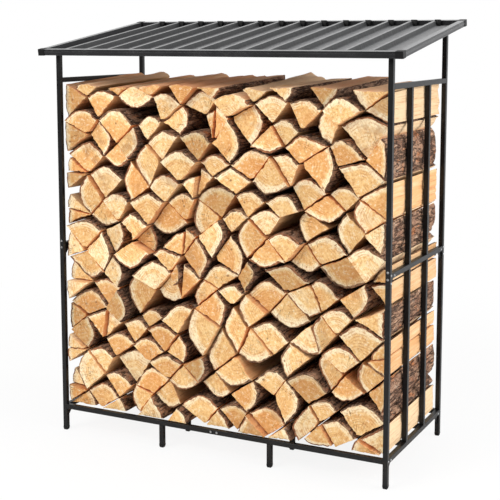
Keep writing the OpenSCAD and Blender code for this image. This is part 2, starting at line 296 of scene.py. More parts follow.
# Every vertex of a log carries two attributes: local is where it is from the log's heart,
# as across, along and up, and tone is the log's lightness, warmth and number, with the
# distance from the heart to the bark as alpha.
def end_grain():
    """Sawn end of a split log: faint growth rings that follow the bark, pale sapwood,
    a darker heart, saw marks and a few fine checks."""
    s = Shader("end_grain", Specular_IOR_Level=0.2)
    lightness, warmth, number = s.parts(s.attribute("tone", "Color"))
    reach = s.attribute("tone", "Alpha")
    across, _, up = s.parts(s.attribute("local"))
    flat = s.join(across, up, s.times(number, 7.3))
    bend = s.noise(flat, 16, 2, 0.5)
    radius = s.length(s.join(across, up))
    share = s.math("DIVIDE", radius, reach)
    wavy = s.plus(s.times(share, 0.09), s.times(bend, 0.016))

    # Pale sapwood towards the bark, warmer heartwood inside
    cloud = s.noise(flat, 22, 4, 0.6, 0.4)
    years = s.noise(s.join(s.times(wavy, 75), number), 1, 2, 0.6)
    heartwood = s.plus(share, s.line(bend, 0.3, -0.15))
    warm = s.plus(s.between(heartwood, 0.86, 0.68, -0.15, 0.4), s.line(cloud, 0.9, -0.15))
    warm = s.plus(warm, s.line(years, 1.1, -0.55))
    warm = s.plus(warm, s.line(warmth, 1.0, -0.5))
    colour = s.mix(s.between(warm, 0.0, 0.5), srgb(255, 234, 188), srgb(246, 205, 140))
    colour = s.mix(s.between(warm, 0.5, 1.15), colour, srgb(228, 168, 102))
    rim = s.between(s.plus(share, s.times(cloud, 0.16)), 0.86, 0.98)
    colour = s.mix(s.times(rim, 0.62), colour, srgb(255, 243, 210))

    # Growth rings, and lighter and darker mottling
    ring = s.math("POWER", s.line(s.math("SINE", s.times(wavy, 900)), 0.5, 0.5), 3.0)
    ring = s.times(ring, s.between(s.noise(flat, 30, 2, 0.5), 0.42, 0.72))
    colour = s.mix(s.times(ring, 0.7), colour, srgb(190, 118, 62))
    mottle = s.noise(flat, 110, 4, 0.7)
    colour = s.mix(s.between(mottle, 0.5, 0.66, 0.0, 0.62), colour, srgb(202, 134, 76))
    colour = s.mix(s.between(mottle, 0.48, 0.33, 0.0, 0.62), colour, srgb(255, 244, 214))

    # Torn fibres and checks that run out from the heart
    angle = s.math("ARCTAN2", up, across)
    around = s.join(s.times(angle, 9), s.times(radius, 14), number)
    check = s.math("ABSOLUTE", s.less(s.noise(around, 1, 2, 0.5), 0.5))
    check = s.between(check, 0.007, 0.0)
    torn = s.noise(s.join(s.times(angle, 40), s.times(radius, 30), number), 1, 2, 0.6)
    colour = s.mix(s.between(torn, 0.55, 0.75, 0.0, 0.42), colour, srgb(192, 126, 72))
    check = s.times(check, s.between(share, 0.1, 0.4))
    check = s.times(check, s.between(s.noise(flat, 9, 1, 0.5), 0.54, 0.64))
    colour = s.mix(s.times(check, 0.85), colour, srgb(98, 54, 26))

    # Knots and stains on some logs, and dark flecks
    moved = s.node("VectorMath", {0: flat, 1: s.join(s.times(bend, 0.03), 0.0)}, operation="ADD")
    spot = s.node("TexVoronoi", {"Vector": moved, "Scale": 22}, out="Distance", feature="F1")
    knot = s.times(s.between(spot, 0.13, 0.04), s.between(number, 0.5, 0.55))
    colour = s.mix(s.times(knot, 0.75), colour, srgb(104, 56, 28))
    stain = s.between(s.noise(flat, 13, 3, 0.65), 0.5, 0.66)
    stain = s.times(stain, s.between(number, 0.45, 0.1))
    colour = s.mix(s.times(stain, 0.5), colour, srgb(164, 120, 84))
    fleck = s.between(s.noise(flat, 320, 3, 0.7), 0.6, 0.75)
    colour = s.mix(s.times(fleck, 0.75), colour, srgb(122, 70, 34))

    # Marks of the saw in one direction
    over = s.times(s.plus(across, s.times(up, 0.6)), 420)
    with_saw = s.times(s.less(up, s.times(across, 0.6)), 14)
    saw = s.noise(s.join(over, with_saw, number), 1, 3, 0.6)
    colour = s.mix(s.between(saw, 0.38, 0.7, 0.0, 0.36), colour, srgb(200, 140, 82))
    height = s.plus(s.times(saw, 0.5), s.times(mottle, 0.5))
    height = s.less(height, s.times(check, 1.6))
    return s.finish(s.lighten(colour, lightness), 0.72, s.bump(height, 0.0011))


def grain_of(s, number):
    """A function that gives the places for a noise on a log, scaled by side across the
    log and by run along it, and shifted from log to log by the log's number."""
    across, along, up = s.parts(s.attribute("local"))

    def stretched(side, run):
        shifted = s.line(along, run, s.times(number, 50))
        return s.join(s.times(across, side), shifted, s.times(up, side))

    return stretched


STACK_TOP = max(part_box(n)[1].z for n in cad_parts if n.startswith("firewood_course"))
# Distances from the middle between which split faces pass from a warmer look, painted bounce light
# between the logs, to a paler look painted at the two sides of the stack as if lit
PAINTED_LIT_SIDES = (0.53, 0.57)
# Depths below the top of the stack between which split faces that look up pass to the paler
# look painted on top of it, painted light where the roof shades them
PAINTED_LIT_TOP = (0.07, 0.03)


def split_wood():
    """Face torn open along the grain: long pale and tan fibres, with painted light on the stack's
    top and sides.
    """
    s = Shader("split_wood", Specular_IOR_Level=0.1)
    lightness, warmth, number = s.parts(s.attribute("tone", "Color"))
    stretched = grain_of(s, number)
    fibre = s.noise(stretched(260, 9), 1, 4, 0.6, 0.3)
    streak = s.noise(stretched(60, 4), 1, 3, 0.55, 0.5)
    cloud = s.noise(stretched(14, 5), 1, 3, 0.5)
    warm = s.plus(s.times(streak, 0.8), s.line(warmth, 0.5, -0.35))
    warm = s.plus(warm, s.times(cloud, 0.35))

    x, _, z = s.parts(s.position())
    # Painted light: paler at the sides of the stack, as if lit, and warmer inside it, as if in
    # bounce light
    painted_lit_sides = s.between(s.math("ABSOLUTE", x), *PAINTED_LIT_SIDES)
    # Painted light: split faces on top of the stack are paler and pinker, though the roof shades
    # them
    top = s.times(s.between(z, STACK_TOP - PAINTED_LIT_TOP[0], STACK_TOP - PAINTED_LIT_TOP[1]),
                  s.between(s.facing_up(), 0.5, 0.85))
    pale = s.mix(painted_lit_sides, srgb(250, 200, 144), srgb(246, 214, 172))
    pale = s.mix(top, pale, srgb(255, 212, 170))
    tan = s.mix(painted_lit_sides, srgb(232, 154, 98), srgb(228, 174, 120))
    tan = s.mix(top, tan, srgb(255, 182, 132))
    colour = s.mix(s.between(warm, 0.2, 0.75), pale, tan)

    # Dark streaks and fibres, fainter on top of the stack, as part of its painted light
    strength = s.line(top, -0.6, 1.0)
    dark = s.times(s.between(warm, 0.7, 1.0), strength)
    colour = s.mix(dark, colour, srgb(182, 106, 64))
    dark = s.times(s.between(fibre, 0.52, 0.7, 0.0, 0.5), strength)
    colour = s.mix(dark, colour, srgb(160, 92, 56))
    height = s.plus(s.times(fibre, 0.5), s.times(streak, 1.2))
    return s.finish(s.lighten(colour, lightness), 0.78, s.bump(height, 0.0022))


def bark():
    """Rough bark: brown plates with dark furrows along the log and pale, flaked patches."""
    s = Shader("bark", Specular_IOR_Level=0.2)
    number = s.parts(s.attribute("tone", "Color"))[2]
    stretched = grain_of(s, number)

    def ridges(side, run, detail, rough):
        """0 along the furrows and up to 3 between them."""
        away = s.less(s.noise(stretched(side, run), 1, detail, rough, 0.3), 0.5)
        return s.times(s.math("ABSOLUTE", away), 6.0)

    long_furrow = s.between(ridges(58, 9, 3, 0.55), 0.42, 0.02)
    short_furrow = s.between(ridges(80, 36, 3, 0.6), 0.22, 0.0, 0.0, 0.75)
    furrow = s.math("MAXIMUM", long_furrow, short_furrow)
    grit = s.noise(stretched(420, 200), 1, 4, 0.7)
    cloud = s.noise(stretched(20, 9), 1, 4, 0.6)
    colour = s.mix(s.between(cloud, 0.35, 0.66), srgb(182, 142, 114), srgb(130, 92, 72))
    colour = s.mix(s.between(grit, 0.5, 0.7, 0.0, 0.7), colour, srgb(214, 180, 152))
    rust = s.noise(stretched(30, 14), 1, 3, 0.6)
    colour = s.mix(s.between(rust, 0.56, 0.68, 0.0, 0.7), colour, srgb(188, 116, 68))
    flake = s.between(s.noise(stretched(44, 20), 1, 5, 0.65), 0.57, 0.66)
    flake = s.times(flake, s.between(grit, 0.4, 0.56))
    colour = s.mix(s.times(flake, 0.8), colour, srgb(222, 200, 176))
    colour = s.mix(s.times(furrow, 0.9), colour, srgb(42, 27, 21))
    height = s.plus(s.times(furrow, -1.0), s.times(grit, 0.5))
    return s.finish(colour, 0.85, s.bump(height, 0.003))


def bark_edge():
    """Cut edge of the bark, a rim round the sawn end that is reddish on some logs and
    earthy on others."""
    s = Shader("bark_edge", Specular_IOR_Level=0.2)
    lightness, _, number = s.parts(s.attribute("tone", "Color"))
    at = s.attribute("local")
    cloud = s.between(s.noise(at, 60, 3, 0.6), 0.3, 0.7)
    grit = s.noise(at, 500, 3, 0.6)
    reddish = s.mix(cloud, srgb(176, 116, 78), srgb(110, 68, 46))
    earthy = s.mix(cloud, srgb(176, 138, 104), srgb(84, 56, 42))
    colour = s.mix(s.between(number, 0.3, 0.7), reddish, earthy)
    colour = s.mix(s.between(grit, 0.5, 0.75, 0.0, 0.6), colour, srgb(84, 54, 38))
    return s.finish(s.lighten(colour, lightness), 0.8, s.bump(grit, 0.0015))


def set_material(node, material):
    """Gives a CAD node this one material."""
    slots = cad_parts[node].data.materials
    slots.clear()
    slots.append(material)


def dress_frame():
    """Paint on the CAD nodes that keep their shape."""
    black = powder_coat("black_powder_coat", srgb(11, 11, 12), srgb(30, 30, 32), 0.4)
    dusty = powder_coat("dusty_powder_coat", srgb(30, 30, 32), srgb(56, 56, 58), 0.42, 0.5)
    # The roof's side bars get a lighter copy of the bars' paint: painted light on their faces
    satin = powder_coat("satin_powder_coat", srgb(40, 40, 42), srgb(64, 64, 66), 0.45, 0.55)
    plastic = moulded_plastic()
    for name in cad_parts:
        if name == "roof_sheet":
            set_material(name, roof_paint())
        elif name in ("foot_caps", "roof_corner_blocks"):
            set_material(name, plastic)
        elif name.startswith("roof_side_bar"):
            set_material(name, satin)
        elif name.startswith("roof_") and "_bar_" in name:
            set_material(name, dusty)
        elif not name.startswith("firewood"):
            set_material(name, black)
    add_rib_stops(plastic)


def add_block(verts, faces, low, high, bevel):
    """Adds a box with rounded edges to a list of points and a list of faces."""
    first = len(verts)
    mesh = bmesh.new()
    bmesh.ops.create_cube(mesh, size=1.0)
    for v in mesh.verts:
        v.co = [l + (c + 0.5) * (h - l) for c, l, h in zip(v.co, low, high)]
    bmesh.ops.bevel(mesh, geom=mesh.edges[:], offset=bevel, segments=2, affect="EDGES",
                    profile=0.6)
    mesh.verts.ensure_lookup_table()
    verts += [tuple(v.co) for v in mesh.verts]
    faces += [tuple(first + v.index for v in f.verts) for f in mesh.faces]
    mesh.free()


# A rib stop is a plug beside the rib's right edge and a clip over that edge. For each: its
# left and right sides, from the rib's edge; its front and rear, from the front face of the
# rear bar; how far its foot is sunk; how far its top stands above the bar; and its bevel.
PLUG = (0.001, 0.017, -0.013, 0.0005, 0.0006, -0.0004, 0.0012)
CLIP = (-0.003, 0.014, -0.011, 0.002, 0.0008, 0.0006, 0.0009)
# How close to the rear of the sheet its last points lie, how close to the height of a
# crest those on it lie, and how far below it those in a pan lie
REAR_END = 0.004
ON_CREST = 0.0003
IN_PAN = 0.01


def add_rib_stops(material):
    """Black stops beside the rear end of each rib, in the corner with the rear bar."""
    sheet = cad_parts["roof_sheet"].data
    points = np.array([v.co[:] for v in sheet.vertices])
    rear = points[points[:, 1] > points[:, 1].max() - REAR_END]
    crest = rear[:, 2].max()
    pan = rear[rear[:, 2] < crest - IN_PAN][:, 2].max()
    edges = sorted({round(x, 4) for x, _, z in rear if z > crest - ON_CREST})
    bar_low, bar_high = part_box("roof_rear_bar_left")
    verts, faces = [], []
    for x in edges[1::2]:
        for sizes, foot in ((PLUG, pan), (CLIP, crest)):
            left, right, ahead, behind, sunk, proud, bevel = sizes
            add_block(verts, faces, (x + left, bar_low.y + ahead, foot - sunk),
                      (x + right, bar_low.y + behind, bar_high.z + proud), bevel)
    piece = add_piece("rib_stops", verts, faces, [material], SMALL_SHARP)


# Noise for the shapes: a periodic grid of random numbers, read with smooth steps
# between its points
TABLE_SIZE = 32
TABLE = np.random.RandomState(5).rand(TABLE_SIZE, TABLE_SIZE, TABLE_SIZE).astype(np.float32)
# How far the noise moves on for each step of the seed
SEED_STEP = np.array([3.71, 5.13, 1.97])


def value_noise(points, seed=0):
    """Smooth noise from -1 to 1 at an array of points (..., 3)."""
    p = points + SEED_STEP * seed
    cell = np.floor(p).astype(int)
    t = p - cell
    t = t * t * (3 - 2 * t)
    total = 0
    for dx in (0, 1):
        for dy in (0, 1):
            for dz in (0, 1):
                weight = ((t[..., 0] if dx else 1 - t[..., 0])
                          * (t[..., 1] if dy else 1 - t[..., 1])
                          * (t[..., 2] if dz else 1 - t[..., 2]))
                x, y, z = (cell[..., k] + d for k, d in enumerate((dx, dy, dz)))
                total = total + weight * TABLE[x % TABLE_SIZE, y % TABLE_SIZE, z % TABLE_SIZE]
    return total * 2 - 1


def grain_noise(points, side, run, seed, layer):
    """Two octaves of noise, scaled by side across the log and by run along it."""
    points = points * np.array([side, run, side]) + seed
    return value_noise(points, layer) + value_noise(points * 2.1, layer + 7) * 0.5


# Points of a mesh that round to the same twentieth of a millimetre are one
KEYS_PER_METRE = 20000


def islands(mesh):
    """The separate solids of a CAD node, as arrays of their points."""
    points = np.empty(len(mesh.vertices) * 3, np.float32)
    mesh.vertices.foreach_get("co", points)
    points = points.reshape(-1, 3).astype(float)
    keys = [tuple(k) for k in np.round(points * KEYS_PER_METRE).astype(int)]
    parent = {k: k for k in keys}

    def root(k):
        while parent[k] != k:
            parent[k] = parent[parent[k]]
            k = parent[k]
        return k

    for face in mesh.polygons:
        first = root(keys[face.vertices[0]])
        for v in face.vertices[1:]:
            parent[root(keys[v])] = first
    groups = {}
    for i, k in enumerate(keys):
        groups.setdefault(root(k), []).append(i)
    found = [points[g] for g in groups.values()]
    return sorted(found, key=lambda g: (round(g[:, 0].mean(), 3), round(g[:, 2].mean(), 3)))


# A log's section is a sector: one or two corners at the heart, and corners on the bark
HEART_CORNERS = (1, 2)
LEAST_ANGLE, MOST_ANGLE = math.radians(15), math.radians(150)
MOST_HEART_LOSS = 0.35


def log_outline(points):
    """Section of one log as corners anticlockwise seen from the front, whether the side
    after each corner is bark, the heart, and the two ends of the log."""
    low, high = points[:, 1].min(), points[:, 1].max()
    corners = {tuple(np.round(p[[0, 2]], 5)) for p in points if p[1] < low + 1e-4}
    corners = np.array(sorted(corners))
    middle = corners.mean(0)
    turn = np.arctan2(corners[:, 1] - middle[1], corners[:, 0] - middle[0])
    corners = corners[np.argsort(turn)]
    count = len(corners)
    best = None
    for tip in range(count):
        for kept in HEART_CORNERS:
            # The two split sides run from the bark's ends a and b along u and v, and
            # would meet at the heart
            start, end = (tip + kept) % count, (tip - 1) % count
            a, b = corners[start], corners[end]
            u, v = corners[start - 1] - a, corners[(end + 1) % count] - b
            cross = u[0] * v[1] - u[1] * v[0]
            if abs(cross) < 1e-9:
                continue
            t = ((b - a)[0] * v[1] - (b - a)[1] * v[0]) / cross
            heart = a + u * t
            sides = (end - start) % count
            bark_at = [(start + i) % count for i in range(sides + 1)]
            reach = np.linalg.norm(corners[bark_at] - heart, axis=1)
            p, q = a - heart, b - heart
            angle = math.atan2(p[0] * q[1] - p[1] * q[0], p @ q)
            loss = np.linalg.norm(heart - corners[tip]) / reach.mean()
            if t <= 0 or not LEAST_ANGLE < angle < MOST_ANGLE or loss > MOST_HEART_LOSS:
                continue
            uneven = reach.max() / reach.min()
            if best is None or uneven < best[0]:
                best = uneven, bark_at[:-1], heart
    is_bark = np.zeros(count, bool)
    is_bark[best[1]] = True
    return corners, is_bark, best[2], low, high


# Limits of the reach from the heart, as shares of its mean
LEAST_REACH, MOST_REACH = 0.6, 1.25


def bark_reach(corners, is_bark, heart, flat):
    """How far the bark is from the heart in the direction of each of these points."""
    away = flat - heart
    away = away / np.maximum(np.linalg.norm(away, axis=1), 1e-6)[:, None]
    ends = np.roll(corners, -1, 0)
    rim = corners[is_bark] if is_bark.any() else corners
    usual = np.linalg.norm(rim - heart, axis=1).mean()
    nearest = np.full(len(flat), MOST_REACH * usual)
    for p, q in zip(corners[is_bark], ends[is_bark]):
        outward = np.array([(q - p)[1], -(q - p)[0]])
        facing = away @ outward
        far = (outward @ (p - heart)) / np.maximum(facing, 1e-9)
        nearest = np.where((facing > 1e-9) & (far > 0), np.minimum(nearest, far), nearest)
    return np.maximum(nearest, LEAST_REACH * usual)


def draw_in(corners, labels, by):
    """A convex outline cut back by by[label] on each side, with its labels."""
    shape = [(p, l) for p, l in zip(corners, labels)]
    for i, label in enumerate(labels):
        p, q = corners[i], corners[(i + 1) % len(corners)]
        side = (q - p) / np.linalg.norm(q - p)
        inward = np.array([-side[1], side[0]])
        level = inward @ p + by[int(label)]
        cut = []
        for j, (a, kind) in enumerate(shape):
            b = shape[(j + 1) % len(shape)][0]
            da, db = inward @ a - level, inward @ b - level
            if da >= 0:
                cut.append((a, kind))
            if (da >= 0) != (db >= 0):
                crossing = a + (b - a) * (da / (da - db))
                cut.append((crossing, label if da >= 0 else kind))
        shape = cut
    return np.array([p for p, _ in shape]), np.array([bool(l) for _, l in shape])


# Points on the path that is rounded, and how many of them each way the rounding takes in
FINE_POINTS = 360
ROUND_OVER = 24


def resample(corners, labels, count, blur):
    """count evenly spaced points round an outline with its corners rounded, and how
    much each one lies on bark."""
    ends = np.roll(corners, -1, 0)
    lengths = np.linalg.norm(ends - corners, axis=1)
    starts = np.concatenate([[0], np.cumsum(lengths)])
    s = np.arange(FINE_POINTS) * starts[-1] / FINE_POINTS
    side = np.clip(np.searchsorted(starts, s, side="right") - 1, 0, len(corners) - 1)
    t = ((s - starts[side]) / np.maximum(lengths[side], 1e-9))[:, None]
    path = corners[side] * (1 - t) + ends[side] * t
    on_bark = labels[side].astype(float)
    width = blur / (starts[-1] / FINE_POINTS)
    kernel = np.exp(-0.5 * (np.arange(-ROUND_OVER, ROUND_OVER + 1) / width) ** 2)
    kernel /= kernel.sum()
    smooth = sum(w * np.roll(path, ROUND_OVER - i, 0) for i, w in enumerate(kernel))
    on_bark = sum(w * np.roll(on_bark, ROUND_OVER - i) for i, w in enumerate(kernel))
    pick = (np.arange(count) * FINE_POINTS / count).astype(int)
    return smooth[pick], on_bark[pick]


# Logs that reach this close to the top of the stack lie on top of it. Most have a split
# side up, and their upper sides are a little lower at the front and rise to the rear,
# less so at the right end.
ON_TOP = 0.02
SPLIT_SIDE_UP = 0.85
UPWARD = 0.75
TOP_SINK = (0.0, 0.018)
TOP_LIFT = (0.010, 0.038)
TOP_LUMPS = 0.25
RIGHT_END = 0.49
RIGHT_END_LIFT = 0.2

# Points round a log, rings of points along it, and how large the loops of points on its
# sawn ends are
AROUND = 72
RINGS = 22
END_SCALES = (0.74, 0.46, 0.2)
# How far the split sides and the bark side are drawn in from the solid, how far the
# corners are rounded, the chamfer of the ends, and the first ring of points after it
DRAWN_IN = (0.0007, 0.0008)
ROUNDING = 0.0016
CHAMFER = 0.0012
CHAMFER_DEPTH = 0.0008
FIRST_RING = 0.006
# Relief of the split sides: its level, and the depth of swells, fibres and steps
TORN_LEVEL, TORN_SWELL, TORN_FIBRE, TORN_STEP = 0.0013, 0.0022, 0.0007, 0.0022
# Relief of the bark: its level, and the depth of swells and furrows
BARK_LEVEL, BARK_SWELL, BARK_FURROW = 0.0012, 0.0016, 0.0026
RELIEF_RANGE = (-0.0005, 0.01)
# Nicks in the edges of the ends: their depth, how much less it is on bark, and how far
# from the end they fade out
NICK_DEPTH = 0.0045
NICK_LESS_ON_BARK = 0.002
NICK_FADE = 0.02
# Grooves in the split sides: their number, length, depth, width in points, and the
# share of the depth that is left at the far end
MOST_GROOVES = 2
GROOVE_LENGTH = (0.02, 0.2)
GROOVE_DEPTH = (0.001, 0.004)
GROOVE_WIDTH = (0.8, 2.5)
GROOVE_LEFT = 0.35
# How askew the ends are sawn, as a slope, and how rough they are
END_TILT = 0.05
END_BUMPS = 0.0006
# Width of the bark's cut edge: its mean, how much it varies in long and in short waves,
# and its limits; and the share by which the split edges step in beside it
RIM_WIDTH, RIM_LONG_WAVES, RIM_SHORT_WAVES = 0.0028, 0.0020, 0.0014
RIM_RANGE = (0.0006, 0.0075)
SPLIT_STEP_IN = 0.02
# Lightness of the logs, the share of dark logs, and their lightness and warmth
LIGHTNESS = (0.82, 1.02)
DARK_SHARE = 0.1
DARK_LIGHTNESS = (0.6, 0.74)
DARK_WARMTH = 0.7
# First seed of the courses, and the range of the seeds of their logs
COURSE_SEED = 100
LOG_SEEDS = 900
# Materials of a log, in the order of its slots
SAWN, SPLIT, BARK, BARK_EDGE = 0, 1, 2, 3


def groove(depths, on_bark, random):
    """Depth of a groove in the split sides, deepest at one end of the log."""
    apart = np.abs(np.arange(AROUND) - random.randint(0, AROUND))
    apart = np.minimum(apart, AROUND - apart)
    from_end = np.abs(depths - random.choice([depths[0], depths[-1]]))
    run = np.exp(-from_end / random.uniform(*GROOVE_LENGTH))
    deepest = random.uniform(*GROOVE_DEPTH)
    profile = np.exp(-(apart / random.uniform(*GROOVE_WIDTH)) ** 2)
    along = GROOVE_LEFT + (1 - GROOVE_LEFT) * run[:, None]
    return deepest * profile * (1 - on_bark) * along


def side_relief(grid, depths, on_bark, seed, random):
    """How far each point of a log's sides lies inside its smooth section."""
    wide = grain_noise(grid, 18, 4, seed, 1)
    fibres = grain_noise(grid, 130, 9, seed, 2)
    steps = np.abs(grain_noise(grid, 38, 5, seed, 3))
    torn = (TORN_LEVEL + TORN_SWELL * wide + TORN_FIBRE * fibres
            + TORN_STEP * np.clip(steps - 0.35, 0, 1))
    furrows = np.abs(grain_noise(grid, 70, 24, seed, 4))
    rough = BARK_LEVEL + BARK_SWELL * wide + BARK_FURROW * np.clip(furrows, 0, 0.8)
    depth = torn * (1 - on_bark) + rough * on_bark
    for _ in range(random.randint(0, MOST_GROOVES + 1)):
        depth += groove(depths, on_bark, random)
    depth = np.clip(depth, *RELIEF_RANGE)
    from_end = np.minimum(depths - depths[0], depths[-1] - depths)[:, None]
    nicks = np.clip(value_noise(grid * np.array([100, 25, 100]) + seed, 8) - 0.1, 0, 1)
    deepest = NICK_DEPTH - NICK_LESS_ON_BARK * on_bark
    depth += nicks * np.exp(-from_end / NICK_FADE) * deepest
    depth[[0, -1]] += CHAMFER_DEPTH
    return depth


def top_shift(grid, depths, bottom, height, at_right_end, seed, random):
    """How far the points of a log on top of the stack are raised: most at its upper side,
    down at the front and up at the rear."""
    rearward = ((depths - depths[0]) / (depths[-1] - depths[0]))[:, None]
    rise = random.uniform(*TOP_LIFT) * (RIGHT_END_LIFT if at_right_end else 1)
    lift = rearward * rise - (1 - rearward) * random.uniform(*TOP_SINK)
    lumps = value_noise(grid * np.array([30, 12, 30]) + seed, 11)
    lumps = 1 - TOP_LUMPS + TOP_LUMPS * lumps
    level = np.clip((grid[:, :, 2] - bottom) / height, 0, 1)
    return lift * lumps * level ** 1.5


def end_loops(ring, centre, inward, on_bark, seed):
    """Loops of points on a sawn end, from the inner edge of the bark inwards."""
    edge = ring[:, [0, 2]]
    bark_in = (RIM_WIDTH + RIM_LONG_WAVES * value_noise(ring * 30 + seed, 5)
               + RIM_SHORT_WAVES * value_noise(ring * 110 + seed, 9))
    bark_in = np.clip(bark_in * (0.9 + 0.9 * (seed % 1)), *RIM_RANGE)
    inset = edge + inward * (bark_in * on_bark)[:, None]
    inset = inset + (centre - inset) * (SPLIT_STEP_IN * (1 - on_bark))[:, None]
    return [inset] + [centre + (inset - centre) * k for k in END_SCALES]


def log_faces(on_bark):
    """Quads of a log with their materials, and the triangles at the middle of its ends."""
    i = np.arange(AROUND)
    after = (i + 1) % AROUND
    barked = on_bark + on_bark[after] > 1.0
    quads, kinds, tips = [], [], []
    for ring in range(RINGS - 1):
        a, b = ring * AROUND, (ring + 1) * AROUND
        quads.append(np.stack([a + i, b + i, b + after, a + after], 1))
        kinds.append(np.where(barked, BARK, SPLIT))
    loops = len(END_SCALES) + 1
    for end in (0, 1):
        first = RINGS * AROUND + end * (loops * AROUND + 1)
        outer = end * (RINGS - 1) * AROUND
        for k in range(loops):
            inner = first + k * AROUND
            quad = [outer + i, outer + after, inner + after, inner + i]
            quads.append(np.stack(quad if end == 0 else quad[::-1], 1))
            kinds.append(np.where(barked & (k == 0), BARK_EDGE, SAWN))
            outer = inner
        tip = np.full(AROUND, first + loops * AROUND)
        triangle = [outer + i, outer + after, tip]
        tips.append(np.stack(triangle if end == 0 else triangle[::-1], 1))
    return np.concatenate(quads), np.concatenate(kinds), np.concatenate(tips)


def build_log(points, random):
    """Vertices, quads, their materials, end triangles and attributes of one log."""
    corners, is_bark, heart, low, high = log_outline(points)
    on_top = corners[:, 1].max() > STACK_TOP - ON_TOP
    if on_top and random.uniform(0, 1) < SPLIT_SIDE_UP:
        ahead = np.roll(corners, -1, 0) - corners
        rises = -ahead[:, 0] / np.linalg.norm(ahead, axis=1)
        is_bark = is_bark & (rises < UPWARD)
    corners, is_bark = draw_in(corners, is_bark, DRAWN_IN)
    section, on_bark = resample(corners, is_bark, AROUND, ROUNDING)
    tangent = np.roll(section, -1, 0) - np.roll(section, 1, 0)
    tangent /= np.linalg.norm(tangent, axis=1)[:, None]
    inward = np.stack([-tangent[:, 1], tangent[:, 0]], 1)
    middle = section.mean(0)
    seed = random.uniform(0, LOG_SEEDS)

    # The sides: rings of points along the log, moved in by the relief
    inner = np.linspace(low + FIRST_RING, high - FIRST_RING, RINGS - 4)
    depths = np.concatenate([[low, low + CHAMFER], inner, [high - CHAMFER, high]])
    grid = np.empty((RINGS, AROUND, 3))
    grid[:, :, 0] = section[:, 0]
    grid[:, :, 1] = depths[:, None]
    grid[:, :, 2] = section[:, 1]
    relief = side_relief(grid, depths, on_bark, seed, random)
    raised = np.zeros((RINGS, AROUND))
    if on_top:
        raised = top_shift(grid, depths, corners[:, 1].min(), np.ptp(corners[:, 1]),
                           middle[0] > RIGHT_END, seed, random)
    grid[:, :, 0] += inward[:, 0] * relief
    grid[:, :, 2] += inward[:, 1] * relief
    grid[:, :, 2] += raised

    # The ends: each is sawn a little askew, and the rings between them follow
    tilt = random.uniform(-END_TILT, END_TILT, (2, 2))
    caps = []
    for end, ring in ((0, 0), (1, RINGS - 1)):
        centre = middle + np.array([0, raised[ring].mean()])
        loops = end_loops(grid[ring], centre, inward, on_bark, seed)
        flat = np.concatenate([*loops, centre[None]])
        bumps = value_noise(np.c_[flat * 40, np.full(len(flat), seed)], 6)
        askew = (flat - middle) @ tilt[end] + bumps * END_BUMPS
        caps.append(np.stack([flat[:, 0], depths[ring] + askew, flat[:, 1]], 1))
    for ring in range(RINGS):
        share = ring / (RINGS - 1)
        flat = grid[ring][:, [0, 2]] - middle
        grid[ring, :, 1] += flat @ tilt[0] * (1 - share) + flat @ tilt[1] * share
    verts = np.concatenate([grid.reshape(-1, 3), *caps])

    light = random.uniform(*LIGHTNESS)
    warmth = random.uniform(0, 1) ** 1.2
    if random.uniform(0, 1) < DARK_SHARE:
        light, warmth = random.uniform(*DARK_LIGHTNESS), DARK_WARMTH
    local = verts - np.array([heart[0], 0, heart[1]])
    tone = np.tile([light, warmth, random.uniform(0, 1), 0.0], (len(verts), 1))
    tone[:, 3] = bark_reach(corners, is_bark, heart, verts[:, [0, 2]])
    return verts, *log_faces(on_bark), local, tone


def build_course(node, number, materials):
    """One course of firewood as a single piece in place of its CAD node."""
    random = np.random.RandomState(COURSE_SEED + number)
    logs = [build_log(points, random) for points in islands(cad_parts[node].data)]
    verts, quads, kinds, tips, local, tone = zip(*logs)
    firsts = np.cumsum([0] + [len(v) for v in verts[:-1]])
    quads = np.concatenate([q + first for q, first in zip(quads, firsts)])
    tips = np.concatenate([t + first for t, first in zip(tips, firsts)])
    kinds = np.concatenate([*kinds, np.full(len(tips), SAWN)]).astype(np.int32)
    piece = add_piece(f"logs_course_{number:02d}", np.concatenate(verts).tolist(),
                      quads.tolist() + tips.tolist(), materials, LOG_SHARP)
    mesh = piece.data
    mesh.polygons.foreach_set("material_index", kinds)
    attribute = mesh.attributes.new("local", "FLOAT_VECTOR", "POINT")
    attribute.data.foreach_set("vector", np.concatenate(local).astype(np.float32).ravel())
    attribute = mesh.attributes.new("tone", "FLOAT_COLOR", "POINT")
    attribute.data.foreach_set("color", np.concatenate(tone).astype(np.float32).ravel())
    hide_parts(node)


def build_firewood():
    """All courses of firewood, from the lowest to the highest."""
    materials = (end_grain(), split_wood(), bark(), bark_edge())
    nodes = sorted(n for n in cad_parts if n.startswith("firewood_course"))
    for number, node in enumerate(nodes, 1):
        build_course(node, number, materials)


# Profile of a domed screw with a socket, on a washer, as radius and height
SCREW = [(0.0038, 0.0), (0.0038, 0.0005), (0.0036, 0.0007), (0.0031, 0.0007), (0.0031, 0.0010),
         (0.0029, 0.0017), (0.0024, 0.0023), (0.0018, 0.0026), (0.0014, 0.0026),
         (0.0013, 0.0015), (0.0007, 0.0014)]
SCREW_SIDES = 20


def lathe(profile, segments):
    """Vertices and faces of a profile of (radius, height) turned about Z."""
    verts, faces = [], []
    for radius, height in profile:
        for j in range(segments):
            turn = 2 * math.pi * j / segments
            verts.append((radius * math.cos(turn), radius * math.sin(turn), height))
    for k in range(len(profile) - 1):
        for j in range(segments):
            m = (j + 1) % segments
            faces.append((k * segments + j, k * segments + m,
                          (k + 1) * segments + m, (k + 1) * segments + j))
    faces.append(tuple(range(segments))[::-1])
    top = (len(profile) - 1) * segments
    faces.append(tuple(range(top, top + segments)))
    return verts, faces


